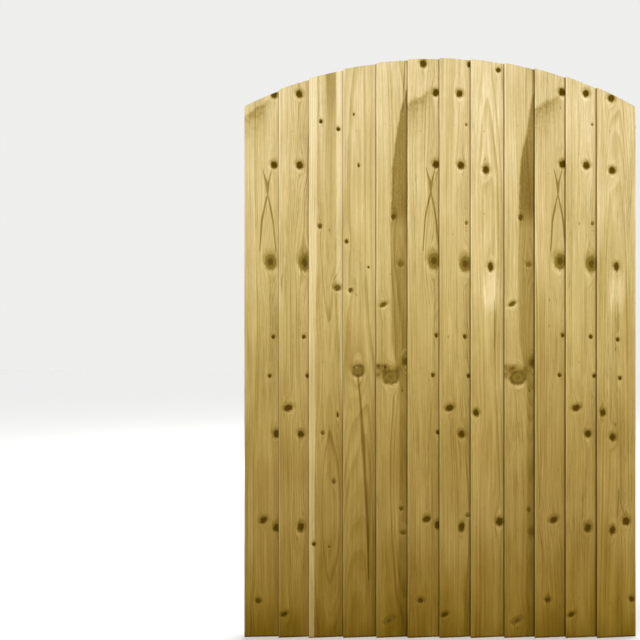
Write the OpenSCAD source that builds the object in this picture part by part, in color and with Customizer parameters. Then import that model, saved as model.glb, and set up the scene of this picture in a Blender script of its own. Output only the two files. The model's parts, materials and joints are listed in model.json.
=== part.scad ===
// Arch-top garden gate leaf: feather-edge boards on a framed, ledged and braced back.
// Millimetres. X across the leaf, -Y the boarded face, +Y the framed face, +Z up.
// Origin: middle of the leaf's width and thickness, at the bottom ends of the boards.
// The leaf hangs from the stile at +X, the side that both braces start from.

/* [Boards] */
// Height of the leaf at the crown of the arch
crown_h = 1800; // [1750:5:1900]
// Height of the leaf at its two sides, where the arch springs
side_h = 1652; // [1640:2:1700]
// Width of one feather-edge board
board_w = 124; // [118:1:130]
// Thickness of a board at its thick edge
board_thick = 15; // [12:0.5:18]
// Thickness of a board at its thin edge
board_thin = 6; // [5:0.5:8]

/* [Frame] */
// Thickness of every frame timber, front to back
frame_t = 45; // [38:1:50]
// Width of the two stiles
stile_w = 72; // [65:1:80]
// Width of the top and bottom rails
rail_w = 63; // [60:1:70]
// Width of the middle rail
middle_w = 72; // [65:1:80]
// Width of the two braces
brace_w = 72; // [60:1:80]
// Underside of the top rail
top_z = 1551; // [1500:1:1570]
// Underside of the middle rail
middle_z = 811; // [760:1:860]
// Underside of the bottom rail
bottom_z = 84; // [60:1:120]
// Eased arris along every frame timber
arris = 2.5; // [1:0.5:4]

/* [Joints] */
// Length of the middle rail's stub tenons
tenon_l = 35; // [25:1:45]
// Thickness of the tenons
tenon_t = 15; // [12:1:16]
// Height of the tenons
tenon_h = 50; // [40:1:56]
// Gap left at the blind end of each mortise
mortise_end_gap = 2; // [1:0.5:4]

/* [Fasteners] */
// Nail length
nail_l = 50; // [45:1:55]
// Nail shank diameter
nail_d = 2.65; // [2.4:0.05:3.4]
// Diameter of the nail's small head
nail_head_d = 4.4; // [4:0.1:6]
// How far each nail is punched below the board
nail_punch = 0.6; // [0.2:0.1:1]
// Distance of the nail line from a board's thick edge
nail_line = 42; // [36:1:60]
// Screw diameter
screw_d = 5; // [4:0.5:6]
// Length of the corner and tenon screws
screw_l = 36; // [32:1:37]
// Length of the screws through the brace ends
toe_screw_l = 70; // [60:1:72]

/* [Hidden] */
// Left edge of each board from the leaf's left side, as set out with uneven laps
set_out = [0, 108, 202, 308, 411, 508, 607, 704, 809, 903, 999, 1096];
last = len(set_out) - 1;
leaf_w = set_out[last] + board_w;
half_w = leaf_w / 2;
half_in = half_w - stile_w;

// Each board's thick edge rides on the board before it. lift(k) is the gap that
// leaves behind the thick edge of board k; the first board lies flat on the frame.
// A board clears both the face of the one before it and that one's thin edge.
function lift(k) = k == 0 ? 0 :
    let (c = (set_out[k] - set_out[k - 1]) / board_w)
    max(lift(k - 1) * (1 - c) + board_thick - (board_thick - board_thin) * c,
        board_thin / c);
// Distance of board k's front face from the frame, u in from its thick edge
function front(k, u) =
    (lift(k) + board_thick) * (1 - u / board_w) + board_thin * u / board_w;

clad_t = max([for (k = [0:last]) lift(k) + board_thick]);
face_y = (clad_t - frame_t) / 2;   // plane where the boards meet the frame
back_y = face_y + frame_t;
mid_y = face_y + frame_t / 2;

rise = crown_h - side_h;
arch_r = (half_w * half_w + rise * rise) / (2 * rise);

// Brace centre lines: [x, z] at the hinge end and at the latch end. Each runs close
// to its panel's diagonal, a little above it.
function unit(v) = v / norm(v);
function brace_line(hinge, latch, up_h, up_l) =
    let (d = unit(hinge - latch), n = d[0] > 0 ? [-d[1], d[0]] : [d[1], -d[0]])
    [hinge + n * up_h, latch + n * up_l];
upper_line = brace_line([half_in, top_z], [-half_in, middle_z + middle_w], 17, 4);
lower_line = brace_line([half_in, bottom_z + rail_w], [-half_in, middle_z], 1, 12);
function z_at(line, x) =
    line[0][1] + (line[1][1] - line[0][1]) * (x - line[0][0]) / (line[1][0] - line[0][0]);

// Boards that cross a brace clear of the stiles take one more nail there
brace_boards = [for (k = [1:last - 1]) k];
nail_x = [for (s = set_out) s - half_w + nail_line];

function board_name(k) = str("board_", k < 9 ? "0" : "", k + 1);

/* Boards */

module arch_outline() {
    // The leaf's front outline: square below the springing, one arc above it
    intersection() {
        translate([-half_w, 0]) square([leaf_w, crown_h + 10]);
        union() {
            translate([-half_w, 0]) square([leaf_w, side_h - 20]);
            translate([0, crown_h - arch_r]) circle(r = arch_r, $fn = 256);
        }
    }
}

module board(k) {
    x = set_out[k] - half_w;
    color([0.79, 0.70, 0.47])
    intersection() {
        linear_extrude(height = crown_h + 10)
            polygon([
                [x, face_y - lift(k)],
                [x + board_w, face_y],
                [x + board_w, face_y - board_thin],
                [x, face_y - lift(k) - board_thick]
            ]);
        translate([0, back_y, 0]) rotate([90, 0, 0])
            linear_extrude(height = clad_t + frame_t + 10) arch_outline();
    }
}

/* Frame timbers */

// w by t section with its four arrises eased, first corner at the origin
module section(w, t) {
    polygon([[arris, 0], [w - arris, 0], [w, arris], [w, t - arris],
             [w - arris, t], [arris, t], [0, t - arris], [0, arris]]);
}

module upright(w, l) { linear_extrude(height = l) section(w, frame_t); }

// Length along X, width along Z
module level(w, l) {
    multmatrix([[0, 0, 1, 0], [0, 1, 0, 0], [1, 0, 0, 0], [0, 0, 0, 1]])
        linear_extrude(height = l) section(w, frame_t);
}

// Stile in the corner at +X. Its ends are halved on the framed side for the rails.
module stile() {
    color([0.66, 0.61, 0.43])
    difference() {
        translate([half_in, face_y, bottom_z]) upright(stile_w, top_z + rail_w - bottom_z);
        translate([half_in - 5, mid_y, top_z])
            cube([stile_w + 10, frame_t, rail_w + 10]);
        translate([half_in - 5, mid_y, bottom_z - 10])
            cube([stile_w + 10, frame_t, rail_w + 10]);
        translate([half_in - 5, mid_y - tenon_t / 2, middle_z + (middle_w - tenon_h) / 2])
            cube([tenon_l + mortise_end_gap + 5, tenon_t, tenon_h]);
    }
}

module hinge_stile() { stile(); }
module latch_stile() { mirror([1, 0, 0]) stile(); }

// Full-width rail. Its ends are halved on the boarded side for the stiles.
module outer_rail(z) {
    color([0.67, 0.62, 0.46])
    difference() {
        translate([-half_w, face_y, z]) level(rail_w, leaf_w);
        for (s = [-1, 1])
            translate([s < 0 ? -half_w - 5 : half_in, face_y - 5, z - 5])
                cube([stile_w + 5, frame_t / 2 + 5, rail_w + 10]);
    }
}

module top_rail() { outer_rail(top_z); }
module bottom_rail() { outer_rail(bottom_z); }

module middle_rail() {
    color([0.62, 0.56, 0.37])
    union() {
        translate([-half_in, face_y, middle_z]) level(middle_w, 2 * half_in);
        translate([-half_in - tenon_l, mid_y - tenon_t / 2, middle_z + (middle_w - tenon_h) / 2])
            cube([2 * (half_in + tenon_l), tenon_t, tenon_h]);
    }
}

// Brace cut to the panel between two rails and the two stiles
module brace(line, z_low, z_high) {
    d = line[1] - line[0];
    a = atan2(d[1], d[0]);
    color([0.65, 0.60, 0.41])
    intersection() {
        translate([line[0][0], 0, line[0][1]]) rotate([0, -a, 0])
            translate([-150, face_y, -brace_w / 2]) level(brace_w, norm(d) + 300);
        translate([-half_in, face_y - 5, z_low])
            cube([2 * half_in, frame_t + 10, z_high - z_low]);
    }
}

module upper_brace() { brace(upper_line, middle_z + middle_w, top_z); }
module lower_brace() { brace(lower_line, bottom_z + rail_w, middle_z); }

/* Fasteners: heads at the origin, pointing along +Y */

module nail() {
    rotate([-90, 0, 0]) rotate_extrude($fn = 32)
        polygon([[0, 0], [nail_head_d / 2, 0], [nail_head_d / 2, 0.8], [nail_d / 2, 1.8],
                 [nail_d / 2, nail_l - 4], [0, nail_l]]);
}

module screw(l) {
    rotate([-90, 0, 0]) rotate_extrude($fn = 32)
        polygon(concat(
            [[0, 0], [screw_d * 0.9, 0], [screw_d * 0.9, 0.4], [screw_d * 0.35, 3.4],
             [screw_d * 0.35, l * 0.4]],
            [for (i = [0:7]) each
                let (z = l * 0.4 + i * (l * 0.6 - 6) / 8, p = (l * 0.6 - 6) / 8)
                [[screw_d * 0.35, z], [screw_d * 0.5, z + p * 0.5]]],
            [[screw_d * 0.35, l - 6], [0, l]]));
}

module rail_nails() {
    color([0.45, 0.42, 0.36])
    for (k = [0:last], z = [top_z + rail_w / 2, middle_z + middle_w / 2, bottom_z + rail_w / 2])
        translate([nail_x[k], face_y - front(k, nail_line) + nail_punch,
                   z + (k % 2 == 0 ? 9 : -9)]) nail();
}

module brace_nails() {
    color([0.45, 0.42, 0.36])
    for (k = brace_boards, line = [upper_line, lower_line])
        translate([nail_x[k], face_y - front(k, nail_line) + nail_punch,
                   z_at(line, nail_x[k])]) nail();
}

module corner_screws() {
    color([0.70, 0.66, 0.50])
    for (s = [-1, 1], z = [top_z, bottom_z], p = [[50, 18], [22, 45]])
        translate([s * (half_w - p[0]), face_y, z + p[1]]) screw(screw_l);
}

module tenon_screws() {
    color([0.70, 0.66, 0.50])
    for (s = [-1, 1])
        translate([s * (half_in + tenon_l / 2), face_y, middle_z + middle_w / 2]) screw(screw_l);
}

// One screw through each brace end, sloping through the end into the corner. It
// starts below the face so that its head stays clear of the boards. The centre line
// leaves the panel at the rail or at the stile, whichever it meets first.
module toe_screw(line, end, z_low, z_high) {
    from = line[1 - end];
    d = unit(line[end] - from);
    z_edge = d[1] > 0 ? z_high : z_low;
    reach = min(((d[0] > 0 ? half_in : -half_in) - from[0]) / d[0],
                (z_edge - from[1]) / d[1]);
    start = from + d * (reach - 42);
    translate([start[0], face_y + 4, start[1]])
        rotate([0, -atan2(d[1], d[0]), 0]) rotate([0, 0, -62]) screw(toe_screw_l);
}

module brace_screws() {
    color([0.70, 0.66, 0.50]) {
        for (end = [0, 1]) toe_screw(upper_line, end, middle_z + middle_w, top_z);
        for (end = [0, 1]) toe_screw(lower_line, end, bottom_z + rail_w, middle_z);
    }
}

for (k = [0:last])
    board(k);
hinge_stile();
latch_stile();
top_rail();
middle_rail();
bottom_rail();
upper_brace();
lower_brace();
rail_nails();
brace_nails();
corner_screws();
tenon_screws();
brace_screws();
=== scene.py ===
import json
import math

import bpy
import mathutils
import numpy as np
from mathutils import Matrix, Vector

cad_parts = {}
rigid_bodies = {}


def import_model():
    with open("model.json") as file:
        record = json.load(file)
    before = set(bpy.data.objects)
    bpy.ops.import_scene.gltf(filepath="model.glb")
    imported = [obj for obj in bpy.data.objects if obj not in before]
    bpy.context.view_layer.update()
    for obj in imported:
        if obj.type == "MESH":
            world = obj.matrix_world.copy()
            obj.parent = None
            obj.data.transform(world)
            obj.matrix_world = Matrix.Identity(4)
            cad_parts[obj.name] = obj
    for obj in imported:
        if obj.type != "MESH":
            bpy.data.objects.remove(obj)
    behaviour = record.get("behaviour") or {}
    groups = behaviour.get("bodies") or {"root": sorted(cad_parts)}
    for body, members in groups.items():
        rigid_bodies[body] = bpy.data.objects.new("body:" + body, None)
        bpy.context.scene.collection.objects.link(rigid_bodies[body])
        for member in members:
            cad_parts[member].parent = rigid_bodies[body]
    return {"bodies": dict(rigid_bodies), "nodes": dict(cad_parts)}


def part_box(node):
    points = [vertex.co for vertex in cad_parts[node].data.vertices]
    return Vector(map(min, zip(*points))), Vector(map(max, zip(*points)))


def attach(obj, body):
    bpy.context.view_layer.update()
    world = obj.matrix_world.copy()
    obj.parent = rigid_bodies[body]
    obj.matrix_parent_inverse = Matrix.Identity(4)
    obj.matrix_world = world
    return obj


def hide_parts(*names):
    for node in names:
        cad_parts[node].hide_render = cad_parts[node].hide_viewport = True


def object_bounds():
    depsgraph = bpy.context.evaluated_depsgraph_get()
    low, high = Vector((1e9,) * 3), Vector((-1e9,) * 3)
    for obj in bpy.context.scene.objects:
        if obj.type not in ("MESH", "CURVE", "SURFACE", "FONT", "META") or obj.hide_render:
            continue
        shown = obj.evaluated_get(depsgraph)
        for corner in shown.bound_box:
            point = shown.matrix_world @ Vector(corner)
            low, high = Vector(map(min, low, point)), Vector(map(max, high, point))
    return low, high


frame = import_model()
cad_box = [list(v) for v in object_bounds()]
BODY = next(iter(frame["bodies"]))

# Lengths in this script are in millimetres until a mesh is written.
MM = 0.001


# ---------------------------------------------------------------- numbers
def smooth(a, b, x):
    t = np.clip((x - a) / (b - a), 0.0, 1.0)
    return t * t * (3 - 2 * t)


def waves(seed, *axes, octaves=5):
    """Smooth noise in about -1..1 as a sum of sines. axes are (values, wavelength)."""
    rng = np.random.default_rng(seed)
    total, weight = 0.0, 0.0
    for octave in range(octaves):
        amp = 0.62**octave
        phase = rng.uniform(0, 2 * math.pi)
        arg = phase
        for values, length in axes:
            arg = arg + values * (2 * math.pi / length) * (1.73**octave) * rng.uniform(0.7, 1.3) * rng.choice((-1, 1))
        total = total + amp * np.sin(arg)
        weight += amp
    return total / weight


def merged(lines, least=0.25):
    """Sorted grid lines with any pair closer than least made one."""
    out = []
    for v in sorted(lines):
        if not out or v - out[-1] > least:
            out.append(float(v))
    return np.array(out)


def spread(lo, hi, step, ends=(), fixed=()):
    """Grid lines from lo to hi: even steps, finer towards both ends, and lines at fixed."""
    n = max(1, round((hi - lo) / step))
    even = list(np.linspace(lo, hi, n + 1))
    keep = [lo, hi] + [lo + e for e in ends] + [hi - e for e in ends] + list(fixed)
    keep = [v for v in keep if lo - 1e-6 <= v <= hi + 1e-6]
    near = 0.35 * step
    even = [v for v in even if min(abs(v - f) for f in keep) > min(near, 1.5)]
    return merged(keep + even)


# ---------------------------------------------------------------- meshes
def lattice(shape, filled):
    """The outside faces of a block of cells: quads of grid point numbers, and each face's side (0 -a, 1 +a, 2 -b, 3 +b, 4 -c, 5 +c)."""
    vid = np.arange((shape[0] + 1) * (shape[1] + 1) * (shape[2] + 1)).reshape(
        shape[0] + 1, shape[1] + 1, shape[2] + 1
    )
    quads, sides, planes, rows = [], [], [], []
    for axis in range(3):
        pad = [(0, 0)] * 3
        pad[axis] = (1, 1)
        f = np.pad(filled, pad)
        n = f.shape[axis]
        before = np.take(f, np.arange(n - 1), axis)
        after = np.take(f, np.arange(1, n), axis)
        b, c = [(1, 2), (2, 0), (0, 1)][axis]
        for up, mask in ((1, before & ~after), (0, ~before & after)):
            at = list(np.nonzero(mask))
            if not len(at[0]):
                continue

            def corner(db, dc):
                q = [x.copy() for x in at]
                q[b] += db
                q[c] += dc
                return vid[q[0], q[1], q[2]]

            loop = [corner(0, 0), corner(1, 0), corner(1, 1), corner(0, 1)]
            quads.append(np.stack(loop if up else loop[::-1], 1))
            sides.append(np.full(len(at[0]), axis * 2 + up))
            planes.append(at[axis])
            rows.append(at[2])
    return (
        np.concatenate(quads),
        np.concatenate(sides),
        np.concatenate(planes),
        np.concatenate(rows),
    )


def bake_map(local, quads, sides, planes, rows, zs):
    """A map of flat charts with no overlaps: each side of the block on its own, long sides cut into lengths that pack into a square."""
    best = None
    plane_of = local[quads].mean(1)
    for cuts in range(1, 7):
        edges = np.linspace(zs[0], zs[-1], cuts + 1)
        lines = [int(np.abs(zs - e).argmin()) for e in edges]
        part = np.clip(np.searchsorted(lines, rows, "right") - 1, 0, cuts - 1)
        part = np.where(sides >= 4, 0, part)
        keys = sides * 100000 + planes * 10 + part
        names, chart = np.unique(keys, return_inverse=True)
        flat = np.empty((len(quads), 4, 2))
        pts = local[quads]
        for side in range(6):
            m = sides == side
            u, v = [(1, 2), (0, 2), (0, 1)][side // 2]
            flat[m] = np.stack([pts[m][:, :, u], pts[m][:, :, v]], 2)
        lo = np.full((len(names), 2), np.inf)
        hi = np.full((len(names), 2), -np.inf)
        for i in range(4):
            np.minimum.at(lo, chart, flat[:, i])
            np.maximum.at(hi, chart, flat[:, i])
        size = hi - lo
        gap = 3.0
        order = np.argsort(-size[:, 1])
        total = (size + gap).prod(1).sum()
        for widen in (1.0, 1.08, 1.16, 1.25, 1.4):
            width = math.sqrt(total) * widen
            x = y = shelf = 0.0
            at = np.zeros((len(names), 2))
            for i in order:
                w, h = size[i] + gap
                if x + w > width and x > 0:
                    x, y, shelf = 0.0, y + shelf, 0.0
                at[i] = x, y
                x += w
                shelf = max(shelf, h)
            used = (at + size + gap).max(0)
            waste = used.prod() / total * max(used.max() / used.min(), 1) ** 0.5
            if best is None or waste < best[0]:
                uv = (flat - lo[chart][:, None] + at[chart][:, None] + gap / 2) / used
                best = (waste, uv)
    return best[1]


def make(name, xs, ys, zs, filled, place, material, stands_for, facts):
    """One timber: the block's faces, its points moved by place(a, b, c), and facts(...) as point attributes."""
    shape = (len(xs) - 1, len(ys) - 1, len(zs) - 1)
    quads, sides, planes, rows = lattice(shape, filled)
    used, quads = np.unique(quads, return_inverse=True)
    quads = quads.reshape(-1, 4)
    i, j, l = np.unravel_index(used, (shape[0] + 1, shape[1] + 1, shape[2] + 1))
    local, world, flip = place(xs[i], ys[j], zs[l])
    if flip:
        quads = quads[:, ::-1]
    mesh = bpy.data.meshes.new(name)
    mesh.vertices.add(len(world))
    mesh.vertices.foreach_set("co", (world * MM).astype(np.float32).ravel())
    mesh.loops.add(quads.size)
    mesh.loops.foreach_set("vertex_index", quads.astype(np.int32).ravel())
    mesh.polygons.add(len(quads))
    mesh.polygons.foreach_set("loop_start", np.arange(0, quads.size, 4, dtype=np.int32))
    mesh.update(calc_edges=True)
    mesh.validate()
    mesh.shade_smooth()
    uv = bake_map(local, quads, sides, planes, rows, zs)
    layer = mesh.uv_layers.new(name="OFBake")
    layer.uv.foreach_set("vector", uv.astype(np.float32).ravel())
    for key, values in facts(local).items():
        values = np.asarray(values, np.float32)
        if values.ndim == 2:
            mesh.attributes.new(key, "FLOAT_VECTOR", "POINT").data.foreach_set("vector", values.ravel())
        else:
            mesh.attributes.new(key, "FLOAT", "POINT").data.foreach_set("value", values.ravel())
    # Which way each face looks, for the sawn ends and the edges of the frame timbers.
    mesh.attributes.new("cut_end", "FLOAT", "FACE").data.foreach_set("value", (sides >= 4).astype(np.float32))
    mesh.attributes.new("edge_side", "FLOAT", "FACE").data.foreach_set("value", (sides < 2).astype(np.float32))
    # A crease where the sawn ends meet the long faces would only blur them, so each corner keeps its face's weight.
    o = bpy.data.objects.new(name, mesh)
    bpy.context.scene.collection.objects.link(o)
    mesh.materials.append(material)
    weigh = o.modifiers.new("weighted", "WEIGHTED_NORMAL")
    weigh.mode, weigh.weight, weigh.keep_sharp = "FACE_AREA", 50, False
    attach(o, BODY)
    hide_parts(stands_for)
    return o


def rounded(a, b, c, size_a, size_b, length, r, r_end):
    """Moves points near the long arrises of a block onto a radius r, and those at its sawn ends onto r_end."""
    ca, cb = np.clip(a, r, size_a - r), np.clip(b, r, size_b - r)
    da, db = a - ca, b - cb
    long = np.hypot(da, db)
    k = np.where((np.abs(da) > 1e-9) & (np.abs(db) > 1e-9), r / np.maximum(long, 1e-9), 1.0)
    a, b = ca + da * k, cb + db * k
    # The ends: how far in from the section's outline each point near an end moves
    near = np.minimum(c, length - c)
    pull = np.where(near < r_end, r_end - np.sqrt(np.maximum(r_end**2 - (r_end - near) ** 2, 0)), 0.0)
    # points of the end face itself move along c instead, near the outline
    inner = np.minimum(np.minimum(a, size_a - a), np.minimum(b, size_b - b))
    on_face = near < 1e-6
    edge = np.clip(inner, 0, r_end)
    drop = np.where(on_face, r_end - np.sqrt(np.maximum(r_end**2 - (r_end - edge) ** 2, 0)), 0.0)
    drop = np.where(on_face & (inner < 1e-6), r_end * 0.29, drop)
    pull = np.where(on_face & (inner < 1e-6), r_end * 0.29, np.where(on_face, 0.0, pull))
    c = np.where(c < length / 2, c + drop, c - drop)
    mid_a, mid_b = size_a / 2, size_b / 2
    a = np.where(np.abs(a - mid_a) > mid_a - r_end, a + np.sign(mid_a - a) * pull, a)
    b = np.where(np.abs(b - mid_b) > mid_b - r_end, b + np.sign(mid_b - b) * pull, b)
    return a, b, c


# ---------------------------------------------------------------- wood facts
def knot_facts(across, along, knots):
    """For each point, its place relative to the nearest knot (kq: across and along in the knot's own radii, and how much it counts) and that knot's radius, darkness and bark ring (kp)."""
    n = len(across)
    kq = np.zeros((n, 3))
    kp = np.zeros((n, 3))
    kq[:, 0] = 9.0
    kp[:, 0] = 5.0
    if not knots:
        return kq, kp
    pos = np.array([[k[0], k[1]] for k in knots], float)
    rad = np.array([[k[2], k[3]] for k in knots], float)
    tilt = np.radians([k[6] if len(k) > 6 else 0.0 for k in knots])
    best = np.full(n, np.inf)
    pick = np.zeros(n, int)
    coords = []
    for m in range(len(knots)):
        dx, ds = across - pos[m, 0], along - pos[m, 1]
        co, si = math.cos(tilt[m]), math.sin(tilt[m])
        qx, qs = (dx * co + ds * si) / rad[m, 0], (-dx * si + ds * co) / rad[m, 1]
        coords.append((qx, qs))
        flow = np.hypot(dx / rad[m, 0], 0.42 * ds / rad[m, 1])
        better = flow < best
        best = np.where(better, flow, best)
        pick[better] = m
    for m in range(len(knots)):
        # a knot's hold on the grain ends before the place where its neighbour's begins
        d = np.hypot((pos[:, 0] - pos[m, 0]) / (rad[:, 0] + rad[m, 0]), 0.42 * (pos[:, 1] - pos[m, 1]) / (rad[:, 1] + rad[m, 1]))
        d[m] = np.inf
        reach = max(1.3, min(4.6, 0.94 * d.min()))
        at = pick == m
        qx, qs = coords[m]
        kq[at, 0], kq[at, 1] = qx[at], qs[at]
        kq[at, 2] = 1 - smooth(0.7 * reach, reach, best[at])
        kp[at, 0] = rad[m, 0]
        kp[at, 1] = knots[m][4]
        kp[at, 2] = knots[m][5]
    return kq, kp


def figure_facts(across, along, figures):
    """Dark grain figures: fg holds how far a point lies from the figure's middle line, the half spread of its two legs there, and the width of the line (0 for none)."""
    fg = np.zeros((len(across), 3))
    fg[:, 0] = 50.0
    nearest = np.full(len(across), np.inf)
    for stations in figures:
        s = np.array(sorted(stations), float)  # (along, middle, spread, width)
        gap = np.maximum(np.maximum(s[0, 0] - along, along - s[-1, 0]), 0)
        mine = gap < nearest
        nearest[mine] = gap[mine]
        fade = 1 - smooth(0, 10, gap)
        fg[mine, 0] = (across - np.interp(along, s[:, 0], s[:, 1]))[mine]
        fg[mine, 1] = np.interp(along, s[:, 0], s[:, 2])[mine]
        fg[mine, 2] = (np.interp(along, s[:, 0], s[:, 3]) * fade)[mine]
    return fg


# ---------------------------------------------------------------- materials
class Tree:
    """Short names for the shader nodes used here."""

    def __init__(self, name):
        self.mat = bpy.data.materials.new(name)
        self.mat.use_nodes = True
        self.t = self.mat.node_tree
        self.t.nodes.clear()
        self.out = self.t.nodes.new("ShaderNodeOutputMaterial")
        self.bsdf = self.t.nodes.new("ShaderNodeBsdfPrincipled")
        self.t.links.new(self.bsdf.outputs[0], self.out.inputs[0])

    def put(self, socket, value):
        if isinstance(value, bpy.types.NodeSocket):
            self.t.links.new(value, socket)
        elif value is not None:
            socket.default_value = value

    def math(self, op, a, b=None, c=None, clamp=False):
        n = self.t.nodes.new("ShaderNodeMath")
        n.operation, n.use_clamp = op, clamp
        for s, v in zip(n.inputs, (a, b, c)):
            self.put(s, v)
        return n.outputs[0]

    def add(self, a, b):
        return self.math("ADD", a, b)

    def sub(self, a, b):
        return self.math("SUBTRACT", a, b)

    def mul(self, a, b):
        return self.math("MULTIPLY", a, b)

    def fma(self, a, b, c):
        return self.math("MULTIPLY_ADD", a, b, c)

    def vec(self, op, a, b=None):
        n = self.t.nodes.new("ShaderNodeVectorMath")
        n.operation = op
        self.put(n.inputs[0], a)
        self.put(n.inputs[1], b)
        return n.outputs["Value"] if op in ("LENGTH", "DOT_PRODUCT", "DISTANCE") else n.outputs[0]

    def join(self, x, y, z):
        n = self.t.nodes.new("ShaderNodeCombineXYZ")
        for s, v in zip(n.inputs, (x, y, z)):
            self.put(s, v)
        return n.outputs[0]

    def split(self, v):
        n = self.t.nodes.new("ShaderNodeSeparateXYZ")
        self.put(n.inputs[0], v)
        return n.outputs[0], n.outputs[1], n.outputs[2]

    def attr(self, name, out="Vector"):
        n = self.t.nodes.new("ShaderNodeAttribute")
        n.attribute_type, n.attribute_name = "GEOMETRY", name
        return n.outputs[out]

    def noise(self, v, detail=2.0, rough=0.5, warp=0.0, colour=False):
        n = self.t.nodes.new("ShaderNodeTexNoise")
        n.noise_dimensions = "3D"
        self.put(n.inputs["Vector"], v)
        n.inputs["Scale"].default_value = 1.0
        n.inputs["Detail"].default_value = detail
        n.inputs["Roughness"].default_value = rough
        n.inputs["Distortion"].default_value = warp
        return n.outputs["Color"] if colour else n.outputs["Fac"]

    def step(self, x, lo, hi, to_lo=0.0, to_hi=1.0):
        """Smooth step from to_lo at lo to to_hi at hi; lo may be the larger."""
        n = self.t.nodes.new("ShaderNodeMapRange")
        n.interpolation_type = "SMOOTHSTEP"
        self.put(n.inputs["Value"], x)
        if lo > hi:
            lo, hi, to_lo, to_hi = hi, lo, to_hi, to_lo
        for s, v in zip(n.inputs[1:5], (lo, hi, to_lo, to_hi)):
            s.default_value = v
        return n.outputs[0]

    def line(self, x, lo, hi, to_lo=0.0, to_hi=1.0, clamp=True):
        n = self.t.nodes.new("ShaderNodeMapRange")
        n.clamp = clamp
        self.put(n.inputs["Value"], x)
        for s, v in zip(n.inputs[1:5], (lo, hi, to_lo, to_hi)):
            s.default_value = v
        return n.outputs[0]

    def ramp(self, x, stops, kind="LINEAR"):
        n = self.t.nodes.new("ShaderNodeValToRGB")
        n.color_ramp.interpolation = kind
        e = n.color_ramp.elements
        while len(e) < len(stops):
            e.new(0.5)
        for el, (p, col) in zip(e, stops):
            el.position = p
            el.color = (*col, 1.0) if len(col) == 3 else col
        self.put(n.inputs[0], x)
        return n.outputs[0]

    def mix(self, f, a, b, kind="MIX"):
        n = self.t.nodes.new("ShaderNodeMix")
        n.data_type, n.blend_type = "RGBA", kind
        n.clamp_factor = True
        self.put(n.inputs[0], f)
        self.put(n.inputs[6], (*a, 1.0) if isinstance(a, tuple) and len(a) == 3 else a)
        self.put(n.inputs[7], (*b, 1.0) if isinstance(b, tuple) and len(b) == 3 else b)
        return n.outputs[2]

    def tint(self, col, k):
        """A colour made lighter or darker by a number as wood is: the darker, the yellower."""
        k = self.math("MAXIMUM", k, 0.02)
        return self.mix(1.0, col, self.join(k, self.math("POWER", k, 1.18), self.math("POWER", k, 2.0)), "MULTIPLY")

    def scaled(self, col, k):
        """A colour times a number."""
        n = self.t.nodes.new("ShaderNodeVectorMath")
        n.operation = "SCALE"
        self.put(n.inputs[0], col)
        self.put(n.inputs["Scale"], k)
        return n.outputs[0]

    def hsv(self, col, h=0.5, s=1.0, v=1.0):
        n = self.t.nodes.new("ShaderNodeHueSaturation")
        self.put(n.inputs["Hue"], h)
        self.put(n.inputs["Saturation"], s)
        self.put(n.inputs["Value"], v)
        self.put(n.inputs["Color"], col)
        return n.outputs[0]

    def bump(self, height, distance, strength=1.0, normal=None):
        n = self.t.nodes.new("ShaderNodeBump")
        n.inputs["Strength"].default_value = strength
        n.inputs["Distance"].default_value = distance
        self.put(n.inputs["Height"], height)
        if normal is not None:
            self.put(n.inputs["Normal"], normal)
        return n.outputs[0]


def linear(r, g, b):
    """sRGB 0-255 to the shader's linear numbers."""
    out = []
    for v in (r, g, b):
        v /= 255
        out.append(v / 12.92 if v <= 0.04045 else ((v + 0.055) / 1.055) ** 2.4)
    return tuple(out)


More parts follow.
